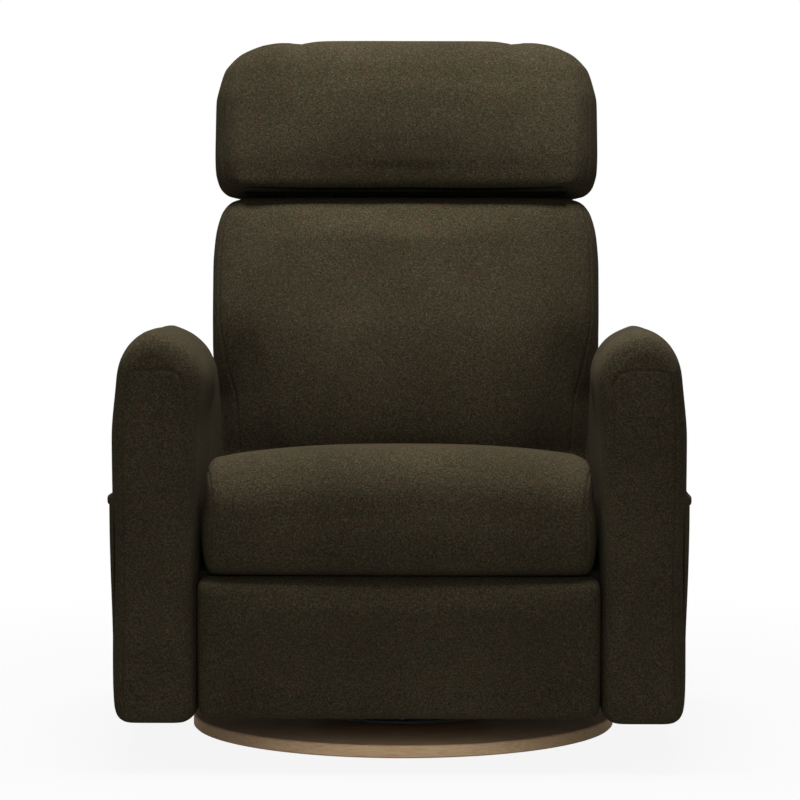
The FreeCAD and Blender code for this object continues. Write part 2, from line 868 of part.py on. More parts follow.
def hinge_leaf(low, high, knuckles):
    # A strap that lies flat in the cleft and rolls into knuckles about the pin.
    inner = hinge_x - hinge_half_width
    outer = hinge_x + hinge_half_width
    strap = box((inner, headrest_pivot[0] + knuckle_radius + 1.0, low), (outer, frame_back, high))
    leaf = strap
    middle = (low + high) / 2
    for start, end in knuckles:
        barrel = cylinder_x(headrest_pivot, knuckle_radius, start, end)
        edge = headrest_pivot[0]
        neck = box((start, edge, middle - 1.0), (end, edge + knuckle_radius + 2.0, middle + 1.0))
        leaf = leaf.fuse([barrel, neck])
    return leaf.removeSplitter()


def headrest_hinge_lower():
    third = hinge_half_width * 2 / 3
    start = hinge_x - hinge_half_width
    knuckles = [(start, start + third - 0.3), (start + 2 * third + 0.3, start + 3 * third)]
    leaf = hinge_leaf(back_top, back_top + leaf_thickness, knuckles)
    pin = cylinder_x(headrest_pivot, 2.0, start, start + 3 * third)
    return leaned(both_sides(leaf.fuse(pin).removeSplitter()))


def headrest_hinge_upper():
    third = hinge_half_width * 2 / 3
    start = hinge_x - hinge_half_width + third
    leaf = hinge_leaf(headrest_bottom - leaf_thickness, headrest_bottom, [(start, start + third)])
    leaf = drilled(leaf, [(headrest_pivot, 2.0 + running_clearance)])
    return leaned(both_sides(leaf))


def headrest_board_blank():
    low = (-225.0, headrest_board_front, headrest_bottom + 22.0)
    high = (225.0, headrest_board_back, headrest_top - 40.0)
    return box(low, high)


def headrest_section(z, inset, depth_inset):
    half = headrest_half_width - inset
    front = back_front + depth_inset
    back = shell_back - 4.0 - depth_inset * 0.7
    corner = half - 34.0
    middle = (front + back) / 2
    return wire_through(
        Vector(-corner, back - 4.0, z),
        [
            [Vector(0, back, z), Vector(corner, back - 4.0, z)],
            [Vector(half, middle, z), Vector(corner, front + 10.0, z)],
            [Vector(0, front, z), Vector(-corner, front + 10.0, z)],
            [Vector(-half, middle, z), Vector(-corner, back - 4.0, z)],
        ],
    )


def headrest_cushion():
    # Each station is a height with its inset at the sides and at the front.
    stations = [
        (headrest_bottom, 22.0, 34.0),
        (headrest_bottom + 4.0, 13.0, 20.0),
        (headrest_bottom + 14.0, 6.0, 9.0),
        (headrest_bottom + 34.0, 1.0, 2.0),
        (headrest_bottom + 60.0, 0.0, 0.0),
        (headrest_top - 90.0, 1.0, 0.0),
        (headrest_top - 45.0, 13.0, 5.0),
        (headrest_top - 22.0, 33.0, 14.0),
        (headrest_top - 8.0, 60.0, 26.0),
        (headrest_top, 92.0, 44.0),
    ]
    wires = [headrest_section(z, inset, depth) for z, inset, depth in stations]
    cushion = Part.makeLoft(wires, True, True)
    return leaned(cushion.cut(headrest_board_blank()))


def save_pair(name, shape):
    save(f"{name}_right", shape)
    save(f"{name}_left", mirrored(shape))


save("base_disc", base_disc())
save("floor_glides", floor_glides())
save("swivel_lower_plate", swivel_lower_plate())
save("swivel_king_bolt", swivel_king_bolt())
save("bearing_rollers", bearing_rollers())
save("bearing_cage", bearing_cage())
save("swivel_upper_plate", swivel_upper_plate())
save("rocker_base", rocker_base())
save("rocker_ears", rocker_ears())
save("rocker_axle", rocker_axle())
save("rocker_springs", Part.makeCompound([coil_spring(-spring_offset), coil_spring(spring_offset)]))
save("rocker_saddle", rocker_saddle())
save("saddle_flanges", saddle_flanges())
save("axle_bushes", axle_bushes())
save("chassis_front_tube", chassis_tube(front_tube_y))
save("chassis_rear_tube", chassis_tube(rear_tube_y))
save_pair("side_plate", side_plate())
save_pair("seat_rail", seat_rail())
save("seat_front_bar", seat_front_bar())
save("seat_rear_bar", seat_rear_bar())
save("seat_webbing", seat_webbing())
save("rear_panel", rear_panel())
save("seat_cushion", seat_cushion())
save_pair("arm_frame", arm_frame())
save_pair("arm_upholstery", arm_upholstery())
save_pair("arm_pocket", arm_pocket())
save("torque_tube", torque_tube())
save("torque_cranks", torque_cranks())
save_pair("rear_link", rear_link())
save("control_links", both_sides(control_link()))
save_pair("cross_link", cross_link())
save("front_links", both_sides(front_link()))
save("legrest_brackets", both_sides(legrest_bracket()))
save("legrest_board", legrest_board())
save("legrest_pad", legrest_pad())
save_pair("push_rod", push_rod())
save_pair("back_bracket", back_bracket())
save("back_frame", back_frame())
save("back_webbing", back_webbing())
save("back_cushion", back_cushion())
save("back_shell", back_shell())
save("headrest_hinge_lower", headrest_hinge_lower())
save("headrest_hinge_upper", headrest_hinge_upper())
save("headrest_board", leaned(headrest_board_blank()))
save("headrest_cushion", headrest_cushion())
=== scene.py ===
import json
import math
import bpy
import bmesh
import numpy
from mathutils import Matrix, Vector, noise
from mathutils.bvhtree import BVHTree
from mathutils.kdtree import KDTree


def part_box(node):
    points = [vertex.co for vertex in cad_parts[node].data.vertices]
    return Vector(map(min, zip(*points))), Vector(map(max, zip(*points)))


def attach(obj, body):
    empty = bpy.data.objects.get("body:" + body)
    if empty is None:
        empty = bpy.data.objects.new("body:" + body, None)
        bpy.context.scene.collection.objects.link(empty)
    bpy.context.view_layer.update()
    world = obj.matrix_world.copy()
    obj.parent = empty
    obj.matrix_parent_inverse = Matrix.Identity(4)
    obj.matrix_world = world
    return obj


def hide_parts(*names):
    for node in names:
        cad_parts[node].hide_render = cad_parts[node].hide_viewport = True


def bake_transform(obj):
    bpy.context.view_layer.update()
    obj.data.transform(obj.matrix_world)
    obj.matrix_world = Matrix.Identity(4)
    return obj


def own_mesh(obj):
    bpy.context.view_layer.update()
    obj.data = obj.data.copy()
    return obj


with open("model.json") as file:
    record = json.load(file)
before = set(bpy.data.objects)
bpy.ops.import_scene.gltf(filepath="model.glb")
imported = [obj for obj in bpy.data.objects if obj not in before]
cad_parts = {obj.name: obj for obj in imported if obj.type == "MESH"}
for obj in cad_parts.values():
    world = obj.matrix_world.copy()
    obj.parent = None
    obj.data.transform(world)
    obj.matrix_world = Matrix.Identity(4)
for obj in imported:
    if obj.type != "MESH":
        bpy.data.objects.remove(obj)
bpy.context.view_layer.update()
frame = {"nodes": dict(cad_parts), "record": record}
scene = bpy.context.scene
scene.view_settings.view_transform = "Standard"

# metres, +X to the right in the picture, -Y to the chair's front, Z up
backHinge = Vector((0.0, 0.165, 0.290))
backLean = math.radians(13.0)
weldDistance = 0.00002


# small helpers for node trees and objects

def addNode(tree, kind, links=None, **sockets):
    node = tree.nodes.new(kind)
    for name, value in sockets.items():
        key = name.replace("_", " ")
        if key in node.inputs:
            node.inputs[key].default_value = value
        else:
            setattr(node, name, value)
    for name, source in (links or {}).items():
        tree.links.new(source, node.inputs[name])
    return node


def mathNode(tree, operation, first, second):
    node = tree.nodes.new("ShaderNodeMath")
    node.operation = operation
    for socket, value in zip(node.inputs, (first, second)):
        if isinstance(value, (int, float)):
            socket.default_value = value
        else:
            tree.links.new(value, socket)
    return node.outputs[0]


def weighted(tree, first, firstShare, second, secondShare):
    return mathNode(tree, "ADD", mathNode(tree, "MULTIPLY", first, firstShare),
                    mathNode(tree, "MULTIPLY", second, secondShare))


def newObject(name, data):
    obj = bpy.data.objects.new(name, data)
    scene.collection.objects.link(obj)
    return obj


def newPiece(name, verts, faces):
    mesh = bpy.data.meshes.new(name)
    mesh.from_pydata(verts, [], faces)
    return newObject(name, mesh)


def dress(obj, material):
    obj.data.materials.clear()
    obj.data.materials.append(material)
    obj.data.shade_smooth()


def applied(obj):
    graph = bpy.context.evaluated_depsgraph_get()
    done = bpy.data.meshes.new_from_object(obj.evaluated_get(graph), depsgraph=graph)
    obj.modifiers.clear()
    old = obj.data
    obj.data = done
    bpy.data.meshes.remove(old)


def thicken(obj, thickness):
    cloth = obj.modifiers.new("cloth", "SOLIDIFY")
    cloth.thickness = thickness
    cloth.offset = 0.0
    applied(obj)


def gridFaces(across, rise):
    # quads over rows of across + 1 points
    corners = [k * (across + 1) + i for k in range(rise) for i in range(across)]
    return [(a, a + 1, a + across + 2, a + across + 1) for a in corners]


def addTube(name, rings):
    # a closed tube through rings of points, with both ends capped
    count = len(rings[0])
    faces = []
    for i in range(len(rings) - 1):
        for k in range(count):
            a, b = i * count + k, i * count + (k + 1) % count
            faces.append((a, b, b + count, a + count))
    last = (len(rings) - 1) * count
    faces += [tuple(range(count)), tuple(range(last, last + count))]
    obj = newPiece(name, [point for ring in rings for point in ring], faces)
    shape = bmesh.new()
    shape.from_mesh(obj.data)
    bmesh.ops.recalc_face_normals(shape, faces=shape.faces)
    shape.to_mesh(obj.data)
    shape.free()
    return obj


# finishes: felt, thread, oak, pine, painted and plated steel, nylon

yarnSettings = {"stretches": ((1.0, 1.0, 0.5), (0.5, 0.5, 1.0)), "crossing": 0.45, "speck": 0.55,
                "driftScale": 7.0, "drift": 0.10, "hueScale": 170.0, "speckHeight": 0.5}


def buildYarnGroup():
    # felted yarn: threads one way and the other, with specks and slow drifts of colour
    s = yarnSettings
    group = bpy.data.node_groups.new("yarn", "ShaderNodeTree")
    group.interface.new_socket("Coords", in_out="INPUT", socket_type="NodeSocketVector")
    group.interface.new_socket("Threads", in_out="INPUT", socket_type="NodeSocketFloat")
    for label in ("Tone", "Hue", "Height"):
        group.interface.new_socket(label, in_out="OUTPUT", socket_type="NodeSocketFloat")
    gIn, gOut = group.nodes.new("NodeGroupInput"), group.nodes.new("NodeGroupOutput")
    coords, scale = gIn.outputs["Coords"], gIn.outputs["Threads"]
    threads = []
    for stretch in s["stretches"]:
        turned = addNode(group, "ShaderNodeMapping", {"Vector": coords}, Scale=stretch)
        grain = addNode(group, "ShaderNodeTexNoise", {"Vector": turned.outputs[0], "Scale": scale},
                        Detail=2.0, Roughness=0.65)
        threads.append(grain.outputs["Fac"])
    crossing = mathNode(group, "MAXIMUM", threads[0], threads[1])
    speck = addNode(group, "ShaderNodeTexNoise", {"Vector": coords, "Scale": scale},
                    Detail=3.0, Roughness=0.75).outputs["Fac"]
    drift = addNode(group, "ShaderNodeTexNoise", {"Vector": coords}, Scale=s["driftScale"], Detail=2.0)
    hue = addNode(group, "ShaderNodeTexNoise", {"Vector": coords}, Scale=s["hueScale"], Detail=3.0,
                  Roughness=0.7)
    tone = weighted(group, crossing, s["crossing"], speck, s["speck"])
    offMiddle = mathNode(group, "SUBTRACT", drift.outputs["Fac"], 0.5)
    tone = mathNode(group, "ADD", tone, mathNode(group, "MULTIPLY", offMiddle, s["drift"]))
    height = mathNode(group, "ADD", crossing, mathNode(group, "MULTIPLY", speck, s["speckHeight"]))
    group.links.new(tone, gOut.inputs["Tone"])
    group.links.new(hue.outputs["Fac"], gOut.inputs["Hue"])
    group.links.new(height, gOut.inputs["Height"])
    return group


def newMaterial(name):
    material = bpy.data.materials.new(name)
    material.use_nodes = True
    tree = material.node_tree
    shader = tree.nodes["Principled BSDF"]
    coords = tree.nodes.new("ShaderNodeTexCoord").outputs["Object"]
    return material, tree, shader, coords


def ramp(tree, source, places, colours):
    node = tree.nodes.new("ShaderNodeValToRGB")
    elements = node.color_ramp.elements
    while len(elements) < len(places):
        elements.new(0.5)
    for element, place, colour in zip(elements, places, colours):
        element.position = place
        element.color = (*colour, 1.0)
    tree.links.new(source, node.inputs["Fac"])
    return node.outputs["Color"]


def bump(tree, shader, height, strength, distance):
    node = addNode(tree, "ShaderNodeBump", {"Height": height}, Strength=strength, Distance=distance)
    tree.links.new(node.outputs[0], shader.inputs["Normal"])


def varyRoughness(tree, shader, source, low, high):
    rough = addNode(tree, "ShaderNodeMapRange", {"Value": source}, To_Min=low, To_Max=high)
    tree.links.new(rough.outputs[0], shader.inputs["Roughness"])


yarnGroup = buildYarnGroup()
clothSettings = {"tonePlaces": (0.37, 0.52, 0.66), "huePlaces": (0.36, 0.52, 0.66),
                 "hues": ((0.88, 1.0, 0.86), (1.0, 1.0, 1.0), (1.22, 0.98, 0.86)),
                 "sheenTint": (0.6, 0.52, 0.36, 1.0), "bumpDepth": 0.0012}


def clothMaterial(name, tones, threads, bumpStrength):
    s = clothSettings
    material, tree, shader, coords = newMaterial(name)
    yarn = tree.nodes.new("ShaderNodeGroup")
    yarn.node_tree = yarnGroup
    yarn.inputs["Threads"].default_value = threads
    tree.links.new(coords, yarn.inputs["Coords"])
    colour = ramp(tree, yarn.outputs["Tone"], s["tonePlaces"], tones)
    warm = ramp(tree, yarn.outputs["Hue"], s["huePlaces"], s["hues"])
    mixed = addNode(tree, "ShaderNodeMix", data_type="RGBA", blend_type="MULTIPLY")
    mixed.inputs["Factor"].default_value = 1.0
    tree.links.new(colour, mixed.inputs[6])
    tree.links.new(warm, mixed.inputs[7])
    tree.links.new(mixed.outputs[2], shader.inputs["Base Color"])
    shader.inputs["Roughness"].default_value = 0.95
    shader.inputs["Specular IOR Level"].default_value = 0.01
    shader.inputs["Sheen Weight"].default_value = 0.02
    shader.inputs["Sheen Roughness"].default_value = 0.6
    shader.inputs["Sheen Tint"].default_value = s["sheenTint"]
    bump(tree, shader, yarn.outputs["Height"], bumpStrength, s["bumpDepth"])
    return material


woodSettings = {"grainScale": 60.0, "poreScale": 420.0, "grain": 0.7, "pores": 0.3,
                "tonePlaces": (0.34, 0.5, 0.64), "roughness": (0.6, 0.78), "bumpStrength": 0.15,
                "bumpDepth": 0.0006}


def woodMaterial(name, tones, along):
    s = woodSettings
    material, tree, shader, coords = newMaterial(name)
    stretched = addNode(tree, "ShaderNodeMapping", {"Vector": coords}, Scale=along).outputs[0]
    grain = addNode(tree, "ShaderNodeTexNoise", {"Vector": stretched}, Scale=s["grainScale"], Detail=6.0,
                    Roughness=0.6, Distortion=0.4).outputs["Fac"]
    pores = addNode(tree, "ShaderNodeTexNoise", {"Vector": stretched}, Scale=s["poreScale"],
                    Detail=2.0).outputs["Fac"]
    tone = weighted(tree, grain, s["grain"], pores, s["pores"])
    tree.links.new(ramp(tree, tone, s["tonePlaces"], tones), shader.inputs["Base Color"])
    varyRoughness(tree, shader, grain, *s["roughness"])
    shader.inputs["Specular IOR Level"].default_value = 0.06
    bump(tree, shader, pores, s["bumpStrength"], s["bumpDepth"])
    return material


metalSettings = {"patchScale": 55.0, "fineScale": 900.0, "tonePlaces": (0.35, 0.5, 0.65),
                 "roughnessSpread": 0.08, "bumpStrength": 0.12, "bumpDepth": 0.0004}


def metalMaterial(name, tone, metallic, roughness, mottle):
    s = metalSettings
    material, tree, shader, coords = newMaterial(name)
    patch = addNode(tree, "ShaderNodeTexNoise", {"Vector": coords}, Scale=s["patchScale"],
                    Detail=4.0).outputs["Fac"]
    fine = addNode(tree, "ShaderNodeTexNoise", {"Vector": coords}, Scale=s["fineScale"],
                   Detail=2.0).outputs["Fac"]
    dark = tuple(c * (1.0 - mottle) for c in tone)
    pale = tuple(min(c * (1.0 + mottle), 1.0) for c in tone)
    tree.links.new(ramp(tree, patch, s["tonePlaces"], (dark, tone, pale)), shader.inputs["Base Color"])
    shader.inputs["Metallic"].default_value = metallic
    varyRoughness(tree, shader, patch, roughness - s["roughnessSpread"], roughness + s["roughnessSpread"])
    bump(tree, shader, fine, s["bumpStrength"], s["bumpDepth"])
    return material


oliveFelt = clothMaterial("oliveFelt",
                          ((0.0104, 0.0083, 0.0049), (0.0275, 0.0223, 0.0137), (0.063, 0.0518, 0.033)),
                          threads=520.0, bumpStrength=0.55)
seamThread = clothMaterial("seamThread",
                           ((0.014, 0.011, 0.007), (0.030, 0.025, 0.016), (0.050, 0.043, 0.030)),
                           threads=900.0, bumpStrength=0.4)
strapCloth = clothMaterial("strapCloth",
                           ((0.008, 0.008, 0.008), (0.016, 0.016, 0.015), (0.03, 0.03, 0.028)),
                           threads=500.0, bumpStrength=0.5)
# near-black tones: painted shade, the cleft's shadow painted into the welt's cloth
shadeBlackNeckCloth = clothMaterial("shadeBlackNeckCloth",
                          ((0.0006, 0.0005, 0.0004), (0.0013, 0.0011, 0.0008), (0.0028, 0.0024, 0.0018)),
                          threads=500.0, bumpStrength=0.4)
paleOak = woodMaterial("paleOak", ((0.72, 0.46, 0.25), (0.90, 0.615, 0.36), (0.95, 0.70, 0.46)),
                       along=(0.5, 3.0, 9.0))
rawPine = woodMaterial("rawPine", ((0.38, 0.25, 0.12), (0.52, 0.36, 0.19), (0.62, 0.45, 0.26)),
                       along=(3.0, 0.4, 3.0))
blackSteel = metalMaterial("blackSteel", (0.018, 0.018, 0.019), metallic=0.0, roughness=0.42, mottle=0.25)
zincSteel = metalMaterial("zincSteel", (0.50, 0.51, 0.53), metallic=1.0, roughness=0.36, mottle=0.12)
blackNylon = metalMaterial("blackNylon", (0.022, 0.022, 0.023), metallic=0.0, roughness=0.6, mottle=0.2)

slotFinish = {"base_wood": paleOak, "frame_wood": rawPine, "black_steel": blackSteel, "zinc_steel": zincSteel,
              "nylon": blackNylon, "webbing": strapCloth, "upholstery": oliveFelt}
# the rails and front bar are wrapped in black lining, and the hinges in the cleft are painted
nodeFinish = {"headrest_hinge_lower": blackSteel, "headrest_hinge_upper": blackSteel,
              "seat_rail_left": strapCloth, "seat_rail_right": strapCloth, "seat_front_bar": strapCloth}
for part in frame["record"]["subparts"]:
    materials = frame["nodes"][part["node"]].data.materials
    materials.clear()
    materials.append(nodeFinish.get(part["node"], slotFinish[part["material_slot"]]))
print("materials ready")


# soft pieces start from the solids they stand for

def leanedPoint(depth, height):
    # the place of a depth and height that are measured on the leaning back
    return Vector((0.0, backHinge.y + depth * math.cos(backLean) + height * math.sin(backLean),
                   backHinge.z - depth * math.sin(backLean) + height * math.cos(backLean)))


def alongBack(point):
    # depth behind the hinge and height above it, measured on the leaning back
    y = point.y - backHinge.y
    z = point.z - backHinge.z
    return y * math.cos(backLean) - z * math.sin(backLean), y * math.sin(backLean) + z * math.cos(backLean)


def ramped(value):
    value = min(max(value, 0.0), 1.0)
    return value * value * (3.0 - 2.0 * value)


def rampedOver(value, span):
    # 0 at the span's first value and 1 at its second, eased at both
    return ramped((value - span[0]) / (span[1] - span[0]))


def tallness(verts):
    return max(v.co.z for v in verts) - min(v.co.z for v in verts)


def weldedShape(node):
    shape = bmesh.new()
    shape.from_mesh(frame["nodes"][node].data)
    bmesh.ops.remove_doubles(shape, verts=shape.verts, dist=weldDistance)
    return shape


def outerShell(node):
    # a welded copy of a node's outside, without the hollow inside it
    shape = weldedShape(node)
    seen = set()
    shells = []
    for start in shape.verts:
        if start in seen:
            continue
        stack = [start]
        seen.add(start)
        shell = []
        while stack:
            vert = stack.pop()
            shell.append(vert)
            for edge in vert.link_edges:
                other = edge.other_vert(vert)
                if other not in seen:
                    seen.add(other)
                    stack.append(other)
        shells.append(shell)
    shells.sort(key=tallness, reverse=True)
    bmesh.ops.delete(shape, geom=[v for shell in shells[1:] for v in shell], context="VERTS")
    return shape


def addEase(obj, rounds):
    smooth = obj.modifiers.new("ease", "SMOOTH")
    smooth.factor = 0.5
    smooth.iterations = rounds


def startPad(name, pad):
    shape = outerShell(pad["node"])
    mesh = bpy.data.meshes.new(name)
    shape.to_mesh(mesh)
    shape.free()
    obj = newObject(name, mesh)
    remesh = obj.modifiers.new("voxels", "REMESH")
    remesh.mode = "VOXEL"
    remesh.voxel_size = pad["voxel"]
    addEase(obj, pad["ease"])
    applied(obj)
    for vert, normal in [(v, v.normal.copy()) for v in obj.data.vertices]:
        vert.co -= normal * pad["shrink"]
    return obj


puffSettings = {"frames": 20, "quality": 5, "mass": 0.3, "own": 0.4, "past": 0.003, "lastEase": 4}


def addPuff(obj, pad):
    group = obj.vertex_groups.new(name="held")
    group.add([v.index for v in obj.data.vertices if pad["held"](v.co)], 1.0, "REPLACE")
    cloth = obj.modifiers.new("puff", "CLOTH")
    sheet = cloth.settings
    sheet.quality = puffSettings["quality"]
    sheet.mass = puffSettings["mass"]
    sheet.tension_stiffness = pad["tension"]
    sheet.compression_stiffness = pad["tension"]
    sheet.shear_stiffness = pad["tension"]
    sheet.bending_stiffness = pad["bending"]
    sheet.use_pressure = True
    sheet.uniform_pressure_force = pad["pressure"]
    sheet.vertex_group_mass = "held"
    sheet.effector_weights.gravity = 0.0
    cloth.collision_settings.use_collision = False
    cloth.point_cache.frame_start = 1
    cloth.point_cache.frame_end = puffSettings["frames"]


def calmed(moves, edges, rounds):
    # each point's move is shared with its neighbours, so the swelling is even and free of dents
    own = puffSettings["own"]
    first, second = edges[:, 0], edges[:, 1]
    count = numpy.maximum(numpy.bincount(edges.ravel(), minlength=len(moves)), 1)
    for step in range(rounds):
        for axis in range(3):
            total = numpy.bincount(first, weights=moves[second, axis], minlength=len(moves))
            total += numpy.bincount(second, weights=moves[first, axis], minlength=len(moves))
            moves[:, axis] = own * moves[:, axis] + (1.0 - own) * total / count
    return moves


def endPad(obj, pad):
    # the evened moves are capped and stay near the solid's box
    place = pad["rest"]
    if obj.modifiers:
        applied(obj)
        edges = numpy.array([tuple(e.vertices) for e in obj.data.edges])
        moves = numpy.array([tuple(v.co) for v in obj.data.vertices]) - place
        moves = calmed(moves, edges, pad["calm"])
        length = numpy.maximum(numpy.linalg.norm(moves, axis=1), 1e-9)
        place = place + moves * numpy.minimum(1.0, pad["cap"] / length)[:, None]
    low, high = (numpy.array(tuple(corner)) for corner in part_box(pad["node"]))
    place = numpy.clip(place, low - puffSettings["past"], high + puffSettings["past"])
    for vert, co in zip(obj.data.vertices, place):
        vert.co = co


def bySide(side):
    return "right" if side > 0 else "left"


pads = {
    "seatCushion": {"node": "seat_cushion", "body": "chassis", "voxel": 0.0075, "ease": 8, "shrink": 0.001,
                    "cap": 0.008, "calm": 90, "pressure": 3.0, "tension": 60.0, "bending": 6.0, "fill": 0.85,
                    "held": lambda p: p.z < 0.285},
    "legrestPad": {"node": "legrest_pad", "body": "legrest", "voxel": 0.006, "ease": 4, "shrink": 0.0,
                   "cap": 0.005, "calm": 40, "pressure": 1.5, "tension": 80.0, "bending": 8.0, "fill": 0.95,
                   "held": lambda p: p.y > -0.372},
    "backCushion": {"node": "back_cushion", "body": "back", "voxel": 0.0075, "ease": 8, "shrink": 0.0,
                    "cap": 0.006, "calm": 90, "pressure": 3.0, "tension": 60.0, "bending": 6.0, "fill": 0.85,
                    "held": lambda p: alongBack(p)[0] > 0.008},
    "backShell": {"node": "back_shell", "body": "back", "voxel": 0.0065, "ease": 3, "shrink": 0.0,
                  "cap": 0.004, "calm": 40, "pressure": 0.8, "tension": 80.0, "bending": 8.0, "fill": 0.95,
                  "held": lambda p: alongBack(p)[0] < 0.056},
    "headrestCushion": {"node": "headrest_cushion", "body": "headrest", "voxel": 0.0065, "ease": 8,
                        "shrink": 0.0, "cap": 0.006, "calm": 220, "pressure": 3.0, "tension": 60.0,
                        "bending": 6.0, "fill": 0.85, "held": lambda p: alongBack(p)[0] > 0.055},
    "rearPanel": {"node": "rear_panel", "body": "chassis", "voxel": 0.005, "ease": 2, "shrink": 0.0,
                  "cap": 0.002, "calm": 40, "pressure": 0.5, "tension": 80.0, "bending": 8.0, "fill": 0.95,
                  "held": lambda p: p.y < 0.224},
}
for side in (-1, 1):
    name = "armPad" + bySide(side).capitalize()
    pads[name] = {"node": "arm_upholstery_" + bySide(side), "body": "chassis", "voxel": 0.0075, "ease": 5,
                  "shrink": 0.0, "cap": 0.004, "calm": 60, "pressure": 2.0, "tension": 80.0, "bending": 8.0,
                  "fill": 0.9, "held": lambda p: p.z < 0.085}

made = {}
for name, pad in pads.items():
    made[name] = startPad(name, pad)
    pad["rest"] = numpy.array([tuple(v.co) for v in made[name].data.vertices])
    addPuff(made[name], pad)
print("pads cut:", {name: len(obj.data.polygons) for name, obj in made.items()})
for step in range(1, puffSettings["frames"] + 1):
    scene.frame_set(step)
for name, pad in pads.items():
    endPad(made[name], pad)
scene.frame_set(1)
print("pads puffed")


# the photograph's forms: where a setting is a pair, the move grows from the first value to the second

cleftSettings = {"height": 0.501, "reach": 0.038, "headForward": 0.006, "backForward": 0.002,
                 "headLip": -0.0095, "backLip": -0.0020, "front": (0.0, -0.03), "lipDepth": (-0.050, -0.062)}


def fillCleft(point, onHeadrest):
    # both lips of the cleft swell forwards, and the headrest's lip comes down in front of the welt
    s = cleftSettings
    depth, height = alongBack(point)
    away = height - s["height"] if onHeadrest else s["height"] - height
    swell = ramped(1.0 - away / s["reach"]) * rampedOver(depth, s["front"])
    depth -= s["headForward" if onHeadrest else "backForward"] * swell
    lip = s["headLip" if onHeadrest else "backLip"]
    moved = leanedPoint(depth, height + lip * swell * rampedOver(depth, s["lipDepth"]))
    return Vector((point.x, moved.y, moved.z))


headSettings = {"wider": 1.009, "dip": 0.0042, "dipPlace": 0.165, "dipWidth": 0.018,
                "dipHeight": (0.700, 0.740)}


def dipTop(point):
    # the seams over the top draw it in a little on both sides
    s = headSettings
    near = math.exp(-((abs(point.x) - s["dipPlace"]) / s["dipWidth"]) ** 2)
    drop = s["dip"] * near * rampedOver(alongBack(point)[1], s["dipHeight"])
    return Vector((point.x * s["wider"], point.y, point.z - drop))


backSettings = {"sides": 0.0075, "sidesHeight": (0.30, 0.20), "sidesAcross": (0.250, 0.275), "crown": 0.031,
                "crownTop": 0.29, "crownLow": 0.10, "leanTop": 0.012, "leanOver": 0.18, "across": 0.016,
                "acrossFrom": (0.17, 0.285), "acrossHeight": (0.34, 0.22), "front": (0.0, -0.05)}


def fillSides(point):
    # the lower back presses towards the arms
    s = backSettings
    push = (s["sides"] * rampedOver(alongBack(point)[1], s["sidesHeight"])
            * rampedOver(abs(point.x), s["sidesAcross"]))
    return Vector((point.x + math.copysign(push, point.x), point.y, point.z))


def crownBack(point):
    # the front of the back cushion leans away at the top and rolls under towards the seat
    s = backSettings
    depth, height = alongBack(point)
    low = min(max((s["crownTop"] - height) / (s["crownTop"] - s["crownLow"]), 0.0), 1.0)
    high = min(max((height - s["crownTop"]) / s["leanOver"], 0.0), 1.0)
    across = s["across"] * rampedOver(abs(point.x), s["acrossFrom"]) * rampedOver(height, s["acrossHeight"])
    drawn = s["crown"] * low * low + s["leanTop"] * high + across
    moved = leanedPoint(depth + drawn * rampedOver(depth, s["front"]), height)
    return Vector((point.x, moved.y, moved.z))


shellSettings = {"sides": 0.0035, "height": (0.26, 0.18), "across": (0.255, 0.270)}


def fillShell(point):
    # the lower shell is as wide as the cushion in front of it
    s = shellSettings
    push = s["sides"] * rampedOver(alongBack(point)[1], s["height"]) * rampedOver(abs(point.x), s["across"])
    return Vector((point.x + math.copysign(push, point.x), point.y, point.z))


panelSettings = {"wider": 1.009}


def widenPanel(point):
    return Vector((point.x * panelSettings["wider"], point.y, point.z))


def pulledIn(across, up, radius):
    # a point outside the rounding's circle is drawn back to it
    far = math.hypot(across, up)
    return radius / far if across > 0.0 and up > 0.0 and far > radius else 1.0


rollSettings = {"top": 0.449, "front": -0.417, "radius": 0.090, "fall": 0.085, "crown": 0.015,
                "crownHalf": 0.25, "crownPower": 2.5, "wider": 1.010, "upper": (0.36, 0.40),
                "ahead": (-0.36, -0.40), "under": 0.007, "underTop": 0.308, "underOver": 0.022,
                "lip": 0.005, "lipHeight": (0.31, 0.29)}


def rollSeat(point):
    # the seat is highest along its front roll and falls towards the back; its lower front edge tucks under
    s = rollSettings
    y, z = point.y, point.z
    middle = s["front"] + s["radius"]
    top = s["top"] - s["crown"] * (abs(point.x) / s["crownHalf"]) ** s["crownPower"]
    z += rampedOver(z, s["upper"]) * (top - s["fall"] * max(y - middle, 0.0) - z)
    low = top - s["radius"]
    share = pulledIn(middle - y, z - low, s["radius"])
    y, z = middle + (y - middle) * share, low + (z - low) * share
    ahead = rampedOver(y, s["ahead"])
    y += s["under"] * min(max((s["underTop"] - z) / s["underOver"], 0.0), 1.0) ** 2 * ahead
    z -= s["lip"] * rampedOver(z, s["lipHeight"]) * ahead
    return Vector((point.x * s["wider"], y, z))


legrestSettings = {"wider": 1.006, "half": 0.2812, "low": 0.0735, "corner": 0.022}


def roundLegrest(point):
    # fills the width between the arms, with rounded lower corners
    s = legrestSettings
    x, centreX, centreZ = abs(point.x) * s["wider"], s["half"] - s["corner"], s["low"] + s["corner"]
    share = pulledIn(x - centreX, centreZ - point.z, s["corner"])
    return Vector((math.copysign(centreX + (x - centreX) * share, point.x), point.y,
                   centreZ + (point.z - centreZ) * share))


armSettings = {"shift": 0.0055, "innerShift": 0.0035, "raise": 0.0020, "fill": 0.0062,
               "height": (0.465, 0.550), "depth": (0.03, -0.12), "inner": (0.335, 0.295),
               "fillPlace": 0.352, "fillWidth": 0.040,
               "fillHeight": (0.55, 0.59)}


